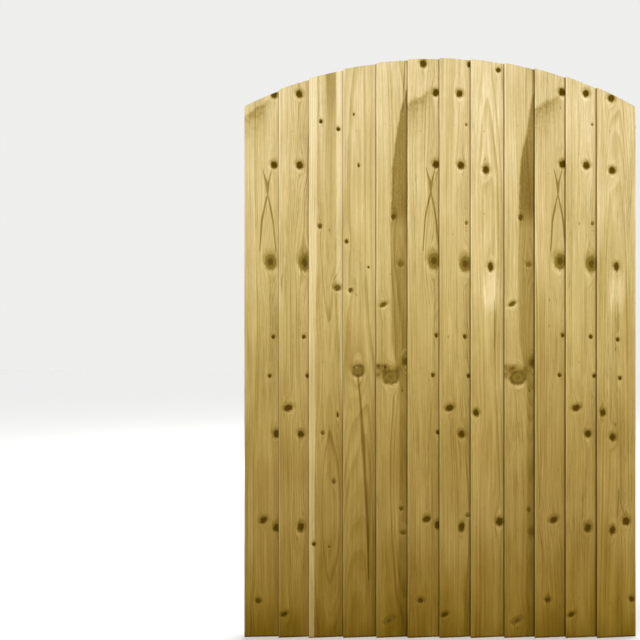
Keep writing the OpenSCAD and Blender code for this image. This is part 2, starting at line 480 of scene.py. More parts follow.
def wood(name, cladding):
    """Softwood as a solid: growth rings round a pith, bent round the knots, with fibres, streaks, bands, sawn ends and
    bump.

    Point attributes it reads: wp (place from the pith: across, depth, along), kq and kp (nearest knot), fg (dark
    figures), hb (heartwood, pale bands, shade), hk (how dark the heartwood is, or how grey a frame timber has
    weathered), sd (how far inside the strip painted dark as the seam's shadow), pc (the piece's own numbers).
    """
    t = Tree(name)
    wp = t.attr("wp")
    x, y, s = t.split(wp)
    qx, qs, qw = t.split(t.attr("kq"))
    ka, kdark, kring = t.split(t.attr("kp"))
    seed, tone, ring_mm = t.split(t.attr("pc"))
    heart, pale, shade = t.split(t.attr("hb"))
    offset = t.join(t.mul(seed, 91.7), t.mul(seed, 53.3), t.mul(seed, 1371.0))
    p = t.vec("ADD", wp, offset)

    # Slow wander of the grain, then its flow round the nearest knot
    wander = t.noise(t.vec("MULTIPLY", p, (1 / 70, 1 / 70, 1 / 1100)), 1.0, 0.4, colour=True)
    wr, wg, wb = t.split(wander)
    ripple = t.noise(t.vec("MULTIPLY", p, (1 / 16, 1 / 16, 1 / 260)), 2.0, 0.5)
    ux = t.fma(t.sub(wr, 0.5), 12.0, x)
    ux = t.fma(t.sub(ripple, 0.5), 3.0, ux)
    uy = t.fma(t.sub(wg, 0.5), 12.0, y)
    flow = t.add(t.mul(qx, qx), t.mul(t.mul(qs, qs), 0.16))
    bend = t.math("DIVIDE", t.mul(t.mul(t.mul(qx, ka), qw), 1.1), t.add(flow, 0.55))
    ux = t.sub(ux, bend)
    # the knot's cone also lifts the rings it passes through
    uy = t.fma(t.math("DIVIDE", t.mul(qw, ka), t.add(flow, 0.8)), 0.5, uy)

    radius = t.math("SQRT", t.add(t.mul(ux, ux), t.mul(uy, uy)))
    uneven = t.noise(t.join(t.mul(radius, 0.045), seed, 0.0), 1.0, 0.5)
    phase = t.add(t.math("DIVIDE", radius, ring_mm), t.mul(uneven, 5.0))
    turn = t.math("FRACT", phase)
    late = t.mul(t.step(turn, 0.25, 0.84), t.step(turn, 1.0, 0.92))
    each = t.t.nodes.new("ShaderNodeTexWhiteNoise")
    each.noise_dimensions = "2D"
    t.put(each.inputs["Vector"], t.join(t.math("FLOOR", phase), seed, 0.0))
    vary = t.fma(t.math("POWER", each.outputs["Value"], 1.4), 0.85, 0.15)
    fade = t.fma(wb, 1.5, -0.15)
    rings = t.mul(t.mul(late, vary), t.math("MINIMUM", t.math("MAXIMUM", fade, 0.25), 1.0))

    fibre_at = t.join(ux, uy, s)
    fibre = t.noise(t.vec("MULTIPLY", fibre_at, (0.62, 0.62, 0.007)), 3.0, 0.68)
    streak = t.noise(t.vec("MULTIPLY", fibre_at, (0.15, 0.15, 0.0016)), 3.0, 0.6)
    broad = t.noise(t.vec("MULTIPLY", p, (0.017, 0.017, 0.0038)), 2.0, 0.5)
    mottle = t.noise(t.vec("MULTIPLY", p, (0.14, 0.14, 0.055)), 3.0, 0.6)
    end = t.attr("cut_end", "Fac")
    side = t.attr("edge_side", "Fac")
    worn = t.attr("worn", "Fac")
    seam = t.attr("sd", "Fac")

    if cladding:
        obj = t.t.nodes.new("ShaderNodeTexCoord").outputs["Object"]
        _, _, oz = t.split(obj)
        height = t.fma(t.sub(broad, 0.5), 0.16, t.math("DIVIDE", oz, 1.8))
        base = t.ramp(
            height,
            [
                (0.0, linear(122, 94, 21)),
                (0.07, linear(141, 113, 42)),
                (0.20, linear(159, 132, 67)),
                (0.29, linear(162, 135, 69)),
                (0.38, linear(171, 145, 79)),
                (0.55, linear(189, 165, 100)),
                (0.75, linear(207, 184, 125)),
                (0.95, linear(218, 197, 144)),
            ],
        )
        depth_of_rings = 0.39
    else:
        base = t.ramp(
            t.fma(t.sub(streak, 0.5), 1.1, 0.5),
            [
                (0.0, linear(143, 126, 78)),
                (0.35, linear(156, 140, 91)),
                (0.55, linear(166, 151, 103)),
                (0.75, linear(178, 165, 121)),
                (1.0, linear(194, 183, 145)),
            ],
        )
        base = t.mix(t.step(t.fma(t.sub(mottle, 0.5), 0.5, shade), 0.1, 0.9), base, t.mix(1.0, base, (0.92, 1.04, 0.98), "MULTIPLY"))
        base = t.mix(t.attr("hk", "Fac"), base, t.mix(1.0, base, (1.0, 1.07, 1.38), "MULTIPLY"))
        depth_of_rings = 0.58

    level = t.fma(t.sub(streak, 0.5), 0.62 if cladding else 0.34, 1.03)
    level = t.fma(t.sub(broad, 0.5), 0.36, level)
    level = t.fma(t.sub(fibre, 0.5), 0.52 if cladding else 0.34, level)
    level = t.fma(t.sub(mottle, 0.5), 0.16 if cladding else 0.08, level)
    level = t.fma(rings, -depth_of_rings, level)
    level = t.mul(level, tone)
    col = t.tint(base, level)

    # Heartwood, sapwood and stain bands
    soft_edge = t.add(t.fma(t.sub(mottle, 0.5), 8.0, t.mul(t.sub(fibre, 0.5), 5.0)), t.mul(t.sub(streak, 0.5), 16.0))
    in_heart = t.mul(t.step(t.add(heart, soft_edge), -3.5, 5.0), t.attr("hk", "Fac"))
    speck = t.noise(t.vec("MULTIPLY", p, (0.45, 0.45, 0.16)), 2.0, 0.65)
    col = t.tint(col, t.fma(in_heart, t.fma(t.sub(speck, 0.5), 0.4, -0.62), 1.0))
    in_pale = t.step(t.add(pale, t.mul(soft_edge, 0.22)), -2.5, 2.5)
    if cladding:
        light = t.mix(0.45, t.tint(col, 1.55), linear(232, 212, 158))
        col = t.mix(t.mul(in_pale, 0.60), col, light)
        blot = t.noise(t.vec("MULTIPLY", p, (0.10, 0.10, 0.085)), 3.0, 0.65)
        col = t.tint(col, t.fma(t.mul(shade, t.fma(t.sub(blot, 0.5), 2.2, 1.0)), -0.42, 1.0))
    else:
        col = t.mix(t.mul(in_pale, 0.75), col, linear(222, 196, 150))

    # Dark figures
    fx, fh, fw = t.split(t.attr("fg"))
    jig = t.mul(t.sub(ripple, 0.5), 7.0)
    off = t.math("ABSOLUTE", t.sub(t.math("ABSOLUTE", t.add(fx, jig)), fh))
    line = t.mul(t.step(t.math("DIVIDE", off, t.math("MAXIMUM", fw, 0.05)), 1.35, 0.25), t.step(fw, 0.1, 0.8))
    col = t.tint(col, t.fma(line, -0.50, 1.0))

    # Knots
    lumpy = t.sub(t.noise(t.vec("MULTIPLY", p, (0.15, 0.15, 0.12)), 4.0, 0.7), 0.5)
    plain_r = t.math("SQRT", t.add(t.mul(qx, qx), t.mul(qs, qs)))
    r = t.fma(t.mul(lumpy, t.math("MINIMUM", 1.0, t.math("MAXIMUM", 0.28, t.math("DIVIDE", 9.0, t.math("MAXIMUM", ka, 1.0))))), 1.4, plain_r)
    core = t.mul(t.step(r, 1.16, 0.88), qw)
    halo = t.mul(t.step(r, 2.2, 0.9), qw)
    patch = t.math("MINIMUM", t.math("MAXIMUM", t.fma(t.sub(t.noise(t.vec("MULTIPLY", p, (0.06, 0.06, 0.055)), 2.0, 0.6), 0.5), 5.0, 0.75), 0.15), 1.0)
    rim = t.mul(t.mul(t.step(r, 0.46, 0.82), t.step(r, 1.34, 1.04)), t.mul(t.mul(qw, kring), patch if cladding else t.fma(patch, 0.4, 0.6)))
    below = t.mul(
        t.mul(t.step(r, 1.05, 1.30), t.step(r, 2.1, 1.45)),
        t.mul(t.step(t.math("DIVIDE", t.add(qs, t.mul(qx, 0.35)), t.math("MAXIMUM", plain_r, 0.2)), 0.25, -0.8), qw),
    )
    col = t.tint(col, t.fma(t.mul(halo, t.fma(kdark, 0.5, 0.5)), -0.34, 1.0))
    col = t.tint(col, t.fma(below, 0.34, 1.0))
    knot_rings = t.math("SINE", t.fma(r, t.math("MULTIPLY", ka, 2.2), t.mul(lumpy, 5.0)))
    if cladding:
        body = t.tint(linear(136, 113, 42), t.fma(knot_rings, 0.24, t.fma(t.math("MINIMUM", t.math("DIVIDE", oz, 1.8), 1.0), 0.35, 0.75)))
        heart_r = t.math("MINIMUM", 0.92, t.math("DIVIDE", t.math("MAXIMUM", t.fma(kdark, 24.0, -10.8), 9.6), t.math("MAXIMUM", ka, 1.0)))
        dark = t.mul(t.step(t.sub(r, heart_r), 0.14, -0.26), kdark)
        inner = t.mix(dark, body, t.mix(t.math("DIVIDE", oz, 1.8), linear(80, 55, 0), linear(88, 66, 4)))
    else:
        body = t.tint(linear(168, 142, 92), t.fma(knot_rings, 0.2, 1.0))
        reach = t.mul(kdark, 1.0)
        inner = t.mix(t.mul(t.step(t.sub(r, reach), 0.25, -0.45), t.fma(kdark, 0.7, 0.3)), body, linear(54, 44, 20))
    col = t.mix(t.mul(core, t.fma(kdark, 0.26, 0.74)), col, inner)
    col = t.mix(t.mul(rim, 0.92), col, linear(74, 53, 2) if cladding else linear(38, 30, 16))

    if cladding:
        # Small pin knots and resin flecks
        cells = t.t.nodes.new("ShaderNodeTexVoronoi")
        cells.feature = "F1"
        t.put(cells.inputs["Vector"], t.vec("MULTIPLY", p, (0.031, 0.031, 0.0105)))
        cells.inputs["Scale"].default_value = 1.0
        chance = t.split(cells.outputs["Color"])[0]
        fleck = t.mul(t.step(cells.outputs["Distance"], 0.085, 0.03), t.step(chance, 0.84, 0.87))
        col = t.tint(col, t.fma(fleck, -0.45, 1.0))

    # Hairline drying checks along the grain
    crack_at = t.vec("MULTIPLY", fibre_at, (0.5, 0.12, 0.0045))
    crack = t.math("ABSOLUTE", t.sub(t.noise(crack_at, 1.0, 0.4), 0.5))
    where = t.noise(t.vec("MULTIPLY", p, (0.02, 0.02, 0.0022)), 1.0, 0.5)
    check = t.mul(t.step(crack, 0.012, 0.002), t.step(where, 0.60, 0.66))
    col = t.tint(col, t.fma(check, -0.42, 1.0))

    # Sawn ends are darker and drink more; the edge faces of the frame timbers are painted paler as a painted highlight
    col = t.mix(end, col, t.tint(col, t.fma(rings, -0.6, 0.74)))
    if not cladding:
        # Painted highlight: the edge faces of the frame timbers are painted pale cream in place of the light falling on
        # them
        col = t.mix(t.mul(side, t.step(t.fma(t.sub(mottle, 0.5), 0.3, broad), 0.28, 0.42, 0.6, 0.97)), col, t.mix(0.8, t.tint(col, 1.5), linear(253, 240, 204)))
    # The arrises are painted paler as a painted highlight, standing in for the light their rounded edges catch. The
    # sawn long edge faces and the strip that the next board's thick edge shadows are painted darker as painted shade,
    # and the last few millimetres at the bottom are darker too.
    arris_highlight_reach = t.fma(t.sub(mottle, 0.5), 2.2, worn)
    arris_highlight = t.mul(t.mul(t.step(arris_highlight_reach, 4.6, 1.2), t.sub(1.0, core)), t.sub(1.0, side) if cladding else 1.0)
    # Painted highlight: a pale band along the arrises, stronger towards the top of the boards
    col = t.mix(t.mul(arris_highlight, t.fma(t.math("MINIMUM", t.math("DIVIDE", oz, 1.8), 1.0), 0.34, 0.16) if cladding else 0.30), col, t.mix(0.35, t.tint(col, 1.5), linear(234, 215, 162)))
    if cladding:
        # Painted shade: the sawn edge faces away from the arrises, and the strip under and just before the next board's
        # thick edge
        seam_shade_and_foot = t.math("MAXIMUM", t.mul(side, t.step(worn, 0.4, 1.5)), t.mul(1.15, t.step(t.fma(t.sub(mottle, 0.5), 1.2, seam), -0.4, 0.6)))
        # Darker in the last few millimetres at the bottom of each board
        seam_shade_and_foot = t.math("MAXIMUM", seam_shade_and_foot, t.step(t.fma(t.sub(mottle, 0.5), -0.004, oz), 0.0062, 0.0030))
        col = t.tint(col, t.fma(seam_shade_and_foot, -0.44, 1.0))
    nail = t.attr("nail", "Fac")
    col = t.tint(col, t.fma(t.step(nail, 5.0, 2.0), -0.07, 1.0))
    t.put(t.bsdf.inputs["Base Color"], col)

    rough = t.fma(t.sub(fibre, 0.5), 0.25, 0.68 if cladding else 0.60)
    rough = t.fma(rings, -0.08, rough)
    rough = t.fma(core, -0.16, rough)
    rough = t.fma(end, 0.15, rough)
    t.put(t.bsdf.inputs["Roughness"], t.math("MINIMUM", rough, 0.95))
    t.bsdf.inputs["Specular IOR Level"].default_value = 0.03

    height = t.mul(rings, 0.55)
    height = t.fma(fibre, 0.75 if cladding else 0.35, height)
    height = t.fma(check, -1.6, height)
    height = t.fma(line, -0.4, height)
    height = t.fma(rim, -1.3, height)
    height = t.fma(t.mul(core, knot_rings), 0.25, height)
    if cladding:
        # Fine band-saw lines across the face, stronger in some lengths than others
        saw = t.math("SINE", t.fma(s, 3.1, t.mul(broad, 7.0)))
        height = t.fma(t.mul(saw, t.step(t.noise(t.vec("MULTIPLY", p, (0.012, 0.012, 0.009)), 1.0, 0.5), 0.40, 0.62)), 0.16, height)
    t.put(t.bsdf.inputs["Normal"], t.bump(height, 0.00045, 0.8))
    return t.mat


def metal(name, dark, light, rough, metallic, stain=None):
    """Dull zinc: cloudy patches and fine crystals. stain is a ramp of colours over the height, for heads that the boards' preservative has dried on."""
    t = Tree(name)
    obj = t.t.nodes.new("ShaderNodeTexCoord").outputs["Object"]
    cloud = t.noise(t.vec("MULTIPLY", obj, (420.0, 420.0, 420.0)), 3.0, 0.6)
    fine = t.noise(t.vec("MULTIPLY", obj, (2600.0, 2600.0, 2600.0)), 2.0, 0.6)
    mixed = t.fma(t.sub(fine, 0.5), 0.6, cloud)
    col = t.ramp(mixed, [(0.25, dark), (0.75, light)])
    if stain:
        col = t.mix(t.step(mixed, 0.35, 0.65, 0.95, 0.80), col, t.ramp(t.math("DIVIDE", t.split(obj)[2], 1.8), stain))
    t.put(t.bsdf.inputs["Base Color"], col)
    t.bsdf.inputs["Metallic"].default_value = metallic
    t.put(t.bsdf.inputs["Roughness"], t.fma(t.sub(mixed, 0.5), 0.35, rough))
    t.put(t.bsdf.inputs["Normal"], t.bump(mixed, 0.00004, 0.6))
    return t.mat


cladding_wood = wood("cladding_wood", True)
frame_wood = wood("frame_wood", False)
nail_metal = metal(
    "stained_nails", linear(96, 80, 42), linear(150, 130, 82), 0.62, 0.15,
    [(0.0, linear(126, 98, 26)), (0.2, linear(156, 129, 62)), (0.5, linear(184, 159, 94)), (0.95, linear(210, 188, 134))],
)
screw_metal = metal("passivated_screws", linear(150, 128, 70), linear(206, 186, 124), 0.34, 1.0)


# ---------------------------------------------------------------- fasteners
def axes_of(node):
    """The x, z axis of each fastener that points along Y, in millimetres."""
    o = frame["nodes"][node]
    co = np.empty(len(o.data.vertices) * 3)
    o.data.vertices.foreach_get("co", co)
    co = co.reshape(-1, 3) / MM
    left, found = co[:, [0, 2]], []
    while len(left):
        near = np.hypot(*(left - left[0]).T) < 8
        found.append((left[near].min(0) + left[near].max(0)) / 2)
        left = left[~near]
    return np.array(found)


nails = np.concatenate([axes_of("rail_nails"), axes_of("brace_nails")])

for node, mat in (
    ("rail_nails", nail_metal),
    ("brace_nails", nail_metal),
    ("corner_screws", screw_metal),
    ("tenon_screws", screw_metal),
    ("brace_screws", screw_metal),
):
    o = frame["nodes"][node]
    if not o.material_slots:
        o.data.materials.append(mat)
    for slot in o.material_slots:
        slot.material = mat


# ---------------------------------------------------------------- boards
THICK, THIN, ROUND = 15.0, 6.0, 1.3
CROWN, SIDE = cad_box[1][2] / MM, 1652.0
HALF = cad_box[1][0] / MM
RISE = CROWN - SIDE
ARCH_R = (HALF * HALF + RISE * RISE) / (2 * RISE)

# Knots: across from the board's thick edge, height, radius across, radius along, darkness, bark ring, tilt in degrees
S, M, L = (5.4, 6.6), (10.6, 12.2), (17.0, 24.0)


def k(u, z, size, dark=1.0, ring=0.0, tilt=0.0):
    return (u, z, size[0], size[1], dark, ring, tilt)


def flame(z, u):
    """A spear of dark grain over an open V, its waist at height z."""
    return [
        [(z + 78, u, 13, 1.4), (z + 50, u, 5, 3.2), (z + 34, u, 1.5, 5.0), (z + 14, u, 0, 4.4), (z + 2, u, 0, 1.8)],
        [(z + 4, u, 0.5, 2.2), (z - 30, u, 8, 3.6), (z - 76, u, 17, 3.8), (z - 170, u + 2, 25, 2.2)],
    ]


BOARDS = [
    dict(  # 1
        knots=[k(92, 1690, M), k(92, 1471, M), k(81, 1169, L, 0.85), k(89, 935, S), k(78, 812, S), k(99, 632, M), k(59, 364, (13, 10), 1.0, 0, 30), k(100, 340, (12, 14), 1.0, 0), k(43, 113, (9, 8.5), 0.95)],
        figures=flame(1374, 71),
        top=(1617, 0.75), pith=(-30, 78), rings=3.9, tone=1.0),
    dict(  # 2
        knots=[k(63, 1690, M), k(64, 1469, M), k(79, 1166, L, 0.85), k(77, 935, S), k(88, 813, S), k(30, 714, (13.8, 10), 1.0, 0, 22), k(68, 632, M), k(68, 343, (10.5, 15), 1.0, 0, -12), k(17, 73, (11.5, 7.5), 1.0, 0, 25)],
        figures=[[(1560, 92, 0, 1.2), (1440, 88, 0, 2.2), (1410, 84, 0, 0.8)]],
        pith=(128, 96), rings=3.2, tone=1.0),
    dict(  # 3
        knots=[k(37, 1603, S), k(90, 1581, S), k(34, 1278, (6, 7.5), 0.8, 0.3), k(87, 1088, (11, 10), 0.7), k(88, 691, (3.4, 8)), k(42, 636, S, 0.7), k(76, 484, S, 0.6), k(16, 291, S), k(62, 281, (3, 3), 0.7)],
        heart=[(1800, 50, 82), (1650, 52, 84), (1400, 50, 80), (1200, 52, 76), (1100, 60, 70), (0, 60, 70)],
        heart_k=[(1800, 0.75), (1690, 0.65), (1600, 0.32), (1300, 0.22), (1100, 0.0)],
        pale=[(1800, 24, 85), (1120, 25, 84), (1050, 22, 88), (700, 20, 104), (0, 16, 150)],
        pith=(70, 95), rings=3.4, tone=0.97),
    dict(  # 4
        knots=[k(33, 1625, (2.8, 4)), k(48, 1467, (3.4, 6)), k(11, 1230, S), k(78, 1151, (3.4, 4)), k(23, 1079, (6, 8), 0.8, 0, -25), k(46, 830, (17, 18), 0.3, 0.65)],
        figures=[[(812, 46, 0, 3.0), (700, 56, 0, 5.0), (583, 63, 0, 7.0), (470, 70, 0, 6.0), (330, 76, 0, 4.4), (180, 79, 0, 2.0)]],
        heart=[(1800, 74, 104), (0, 74, 104)],
        heart_k=[(800, 0.0), (640, 0.3), (300, 0.3), (0, 0.22)],
        pith=(45, 180), rings=3.6, tone=0.985),
    dict(  # 5
        knots=[k(54, 1309, (7, 10), 0.9, 0, -10), k(75, 1162, (8, 9), 0.45), k(22, 1035, (12, 7), 0.8, 0, 28), k(45, 810, (25, 20), 0.5, 0.55, 8), k(90, 858, (11, 14), 0.8), k(81, 767, (2.8, 4)), k(77, 400, S, 0.8), k(83, 325, (9, 7), 0.6), k(40, 53, (15, 8), 0.7, 0, 30)],
        heart=[(1800, 150, 300), (1700, 92, 300), (1630, 73, 300), (1541, 58, 300), (1455, 49, 300), (1330, 46, 300), (1100, 45, 300), (930, 46, 300), (850, 58, 300), (770, 72, 300), (500, 70, 300), (0, 66, 300)],
        figures=[[(1800, 88, 0, 1.8), (1740, 86, 0, 1.6), (1640, 82, 0, 1.4)]],
        heart_k=[(1800, 0.7), (1600, 0.85), (1330, 0.95), (1270, 0.55), (900, 0.45), (600, 0.5), (0, 0.4)],
        smears=[(6, 842, 12, 9, 1.7), (26, 841, 18, 8, 1.75), (5, 819, 10, 9, 1.7), (20, 828, 15, 9, 1.2), (66, 834, 18, 14, 0.8), (84, 852, 16, 16, 0.7)],
        pith=(90, 80), rings=3.2, tone=1.0),
    dict(  # 6
        knots=[k(49, 1784, M), k(88, 1696, M), k(88, 1472, M), k(82, 1171, L, 0.85), k(89, 939, S), k(79, 815, S), k(94, 637, S), k(60, 368, (13.2, 10), 1.0, 0, 32), k(95, 348, (12, 14), 1.0, 0), k(41, 116, (9, 8.5), 0.95)],
        figures=flame(1377, 72),
        top=(1655, 0.6), pith=(-34, 82), rings=3.9, tone=1.0),
    dict(  # 7
        knots=[k(63, 1691, M), k(67, 1468, M), k(94, 1783, (7, 9)), k(81, 1162, L, 0.85), k(79, 935, S), k(90, 813, S), k(32, 714, (13.8, 10), 1.0, 0, 22), k(69, 632, M), k(69, 343, (10.5, 15), 1.0, 0, -12), k(89, 379, (8, 6), 0.35), k(17, 73, (11.5, 7.5), 1.0, 0, 25), k(84, 1289, (5, 6), 0.4), k(84, 1595, (4, 5), 0.4)],
        pith=(130, 98), rings=3.2, tone=1.02),
    dict(  # 8
        knots=[k(86, 1765, (7, 7)), k(48, 1454, M), k(62, 1152, (8.5, 14), 0.95), k(17, 699, (9.5, 12)), k(90, 359, (11.8, 13.6), 1.0, 0)],
        figures=[[(1040, 74, 0, 1.3), (960, 74, 0, 1.3), (900, 74, 0, 0.8)]],
        glow=[(62, 1075, 26, 60)], pith=(58, 70), rings=3.9, tone=1.08),
    dict(  # 9
        knots=[k(51, 1306, (7, 10), 0.9, 0, -10), k(76, 1160, (8, 9), 0.45), k(24, 1037, (12, 7), 0.8, 0, 28), k(42, 808, (25, 20), 0.5, 0.55, 8), k(88, 854, (11, 14), 0.8), k(78, 766, (2.8, 4)), k(76, 396, S, 0.8), k(84, 325, (9, 7), 0.6), k(40, 53, (15, 8), 0.7, 0, 30)],
        heart=[(1800, 150, 300), (1710, 96, 300), (1654, 80, 300), (1564, 68, 300), (1486, 51, 300), (1408, 47, 300), (1300, 46, 300), (1100, 44, 300), (930, 46, 300), (850, 58, 300), (770, 70, 300), (500, 70, 300), (0, 66, 300)],
        figures=[[(1800, 90, 0, 1.8), (1740, 90, 0, 1.6), (1670, 87, 0, 1.4)]],
        heart_k=[(1800, 0.7), (1600, 0.85), (1330, 0.95), (1270, 0.55), (900, 0.45), (600, 0.5), (0, 0.4)],
        smears=[(3, 840, 12, 9, 1.7), (23, 839, 18, 8, 1.75), (3, 817, 10, 9, 1.7), (17, 826, 15, 9, 1.2), (63, 832, 18, 14, 0.8), (82, 850, 16, 16, 0.7)],
        pith=(90, 80), rings=3.2, tone=1.0),
    dict(  # 10
        knots=[k(86, 1696, M), k(88, 1472, M), k(80, 1170, L, 0.85), k(88, 939, S), k(78, 815, S), k(60, 366, (13.2, 10), 1.0, 0, 32), k(41, 118, (9, 8.5), 0.95)],
        figures=flame(1374, 73),
        top=(1640, 0.6), pith=(-32, 80), rings=3.9, tone=1.0),
    dict(  # 11
        knots=[k(64, 1692, M), k(66, 1468, M), k(81, 1162, L, 0.85), k(79, 935, S), k(90, 813, S), k(33, 714, (13.8, 10), 1.0, 0, 22), k(70, 633, M), k(70, 341, (10.5, 15), 1.0, 0, -12), k(18, 73, (11.5, 7.5), 1.0, 0, 25), k(85, 1287, (5, 6), 0.4), k(84, 1595, (4, 5), 0.4)],
        pith=(132, 100), rings=3.2, tone=1.03),
    dict(  # 12
        knots=[k(46, 1676, M), k(49, 1452, M), k(62, 1152, (8.5, 14), 0.95), k(66, 926, S), k(73, 806, S), k(18, 699, (9.5, 12)), k(50, 623, M), k(49, 334, (10, 13), 1.0, 0, -10), k(93, 361, (12, 13.6), 1.0, 0), k(111, 117, (8.5, 9))],
        figures=[[(1038, 66, 0, 1.2), (985, 66, 0, 1.2), (950, 66, 0, 0.8)], [(458, 68, 0.3, 1.0), (420, 71, 4, 1.2), (378, 76, 12, 1.2)]],
        glow=[(62, 1075, 26, 60)], pith=(58, 72), rings=3.9, tone=1.02),
]


def band(along, across, stations):
    """Signed distance in millimetres into a band between two edges: stations are (height, low edge, high edge)."""
    s = np.array(sorted(stations), float)
    lo, hi = np.interp(along, s[:, 0], s[:, 1]), np.interp(along, s[:, 0], s[:, 2])
    return np.minimum(across - lo, hi - across)


def board(index, spec):
    name = f"board_{index + 1:02d}"
    lo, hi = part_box(name)
    cover = (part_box(f"board_{index + 2:02d}")[0][0] - lo[0]) / MM if index < 11 else 200.0
    x0, width = lo[0] / MM, (hi[0] - lo[0]) / MM
    face = hi[1] / MM
    lift = (hi[1] - lo[1]) / MM - THICK
    mine = nails[(nails[:, 0] > x0 + 30) & (nails[:, 0] < x0 + 55)]
    line = mine[:, 0].mean() - x0
    dimple = (0, 1.0, 1.9, 2.5, 3.0, 3.6, 4.6)
    fixed_u = [line + d * sgn for d in dimple for sgn in (-1, 1)]
    fixed_z = [z + d * sgn for z in mine[:, 1] for d in dimple for sgn in (-1, 1)]
    xs = spread(0, width, 3.9, (0.35, 0.9, 1.7, 3.0), fixed_u)
    ys = np.array([0, 0.35, 0.9, 1.7, 5.0, 10.0, 13.3, 14.1, 14.65, 15.0])
    turn_z = 1600.0
    zs = spread(0, CROWN, 9.0, (0.3, 0.8, 2.0), fixed_z)
    rng = np.random.default_rng(100 + index)
    cup = rng.uniform(0.15, 0.5)

    def place(u, b, z):
        b = b * (THICK + (THIN - THICK) * u / width) / THICK
        depth = THICK + (THIN - THICK) * u / width
        # the long faces first, as a straight board
        ru = np.minimum(ROUND * (1 + 0.35 * waves(300 + index, (z, 210.0))), 0.45 * depth)
        a2, b2, _ = rounded(u, b, z, width, depth, CROWN, ru, 0.0001)
        # the top follows the arch
        world_x = x0 + a2
        top = CROWN - ARCH_R + np.sqrt(ARCH_R**2 - world_x**2)
        t = np.clip((z - turn_z) / (CROWN - turn_z), 0, 1)
        z2 = np.where(z > turn_z, turn_z + (top - turn_z) * t, z)
        # worn, slightly torn ends
        end_in = np.minimum(z2, top - z2)
        inner = np.minimum(np.minimum(a2, width - a2), np.minimum(b2, depth - b2))
        z2 = z2 + np.where(z <= 0, 1, np.where(z >= CROWN, -1, 0)) * (
            0.45 * (1 - smooth(0, 1.2, inner)) + 0.18 * (1 + waves(500 + index, (a2, 9.0), (b2, 14.0)))
        )
        # sawn faces: slack and wander, always into the board
        on_front = 1 - smooth(0, 3.0, b2)
        on_back = 1 - smooth(0, 3.0, depth - b2)
        hollow = 0.5 + 0.5 * waves(700 + index, (z2, 640.0), (a2, 90.0))
        slack = cup * (0.35 + 0.65 * hollow)
        bulge = np.zeros_like(z2)
        for kn in spec["knots"]:
            d2 = ((a2 - kn[0]) / (kn[2] * 2.2)) ** 2 + ((z2 - kn[1]) / (kn[3] * 2.2)) ** 2
            bulge = np.maximum(bulge, np.exp(-d2))
        slack = slack * (1 - 0.85 * bulge)
        for nx, nz in mine:
            d = np.hypot(a2 - (nx - x0), z2 - nz)
            slack = np.maximum(slack, 1.15 * (1 - smooth(2.35, 3.7, d)) + 0.0)
        b3 = b2 + slack * on_front - 0.25 * hollow * on_back
        side_in = 0.28 * (1 + waves(900 + index, (z2, 330.0)))
        a3 = a2 + side_in * (1 - smooth(0, 12, a2)) - 0.8 * side_in * (1 - smooth(0, 12, width - a2))
        # end wear pulls the last millimetre in
        worn_end = 0.4 * (1 - smooth(0, 1.5, end_in))
        b3 = b3 + worn_end * (on_front - on_back) * (inner < 0.5)
        front = face - lift * (1 - a3 / width) - (THICK + (THIN - THICK) * a3 / width)
        local = np.stack([a3, b3, z2], 1)
        world = np.stack([x0 + a3, front + b3, z2], 1)
        return local, world, False

    def facts(local):
        a, b, z = local.T
        kq, kp = knot_facts(a, z, spec["knots"])
        pu, pd = spec["pith"]
        # the pith drifts along the board, which draws the cathedral arches
        lean = spec.get("lean", 0.009) * (1 if index % 2 else -1)
        drift = pd + lean * (z - 900) + 7 * waves(60 + index, (z, 1700.0), octaves=2)
        wp = np.stack([a - pu + 5 * waves(80 + index, (z, 2300.0), octaves=2), b + drift, z], 1)
        heart = band(z, a, spec["heart"]) if "heart" in spec else np.full(len(a), -60.0)
        pale = np.full(len(a), -60.0)
        if "pale" in spec:
            s = np.array(sorted(spec["pale"]), float)
            left, right = np.interp(z, s[:, 0], s[:, 1]), np.interp(z, s[:, 0], s[:, 2])
            pale = np.maximum(left - a, a - right)
        shade = np.zeros(len(a))
        if "top" in spec:
            at, slope = spec["top"]
            under = at + slope * a + 6 * waves(77 + index, (a, 60.0)) - z
            shade = smooth(-9, 5, under) * np.exp(-np.maximum(under, 0) / 55) * (1 - smooth(55, 90, a))
        for u, h, ru, rz, much in spec.get("smears", ()):
            shade = np.maximum(shade, much * np.exp(-((a - u) / ru) ** 2 - ((z - h) / rz) ** 2))
        hk = np.full(len(a), 1.0)
        if "heart_k" in spec:
            s = np.array(sorted(spec["heart_k"]), float)
            hk = np.interp(z, s[:, 0], s[:, 1])
        # where the next board laps over this one, and a 3.2 mm strip before its edge that is painted dark as that
        # edge's shadow
        sd = np.full(len(a), -40.0)
        if index < 11:
            sd = np.where(b < 4, a - (cover - 3.2), -40.0)
        for u, h, ru, rz in spec.get("glow", ()):
            d = 1 - np.hypot((a - u) / ru, (z - h) / rz)
            pale = np.maximum(pale, 4 * d)
        depth = THICK + (THIN - THICK) * a / width
        worn = np.hypot(np.minimum(a, width - a), np.minimum(b, depth - b))
        nail_gap = np.full(len(a), 40.0)
        for nx, nz in mine:
            nail_gap = np.minimum(nail_gap, np.hypot(a - (nx - x0), z - nz))
        nail_gap = np.where(b < 4, nail_gap, 40.0)
        pc = np.stack([np.full(len(a), 1.0 + index * 0.77), np.full(len(a), spec["tone"]), np.full(len(a), spec["rings"])], 1)
        return dict(wp=wp, kq=kq, kp=kp, fg=figure_facts(a, z, spec.get("figures", ())), hb=np.stack([heart, pale, shade], 1), hk=hk, sd=sd, pc=pc, worn=worn, nail=nail_gap)

    filled = np.ones((len(xs) - 1, len(ys) - 1, len(zs) - 1), bool)
    return make("feather_edge_" + name, xs, ys, zs, filled, place, cladding_wood, name, facts)


for index, spec in enumerate(BOARDS):
    board(index, spec)


# ---------------------------------------------------------------- frame timbers
DEEP, ARRIS = 45.0, 3.0
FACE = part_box("hinge_stile")[0][1] / MM
SEAM = 0.3  # what a well made joint leaves open


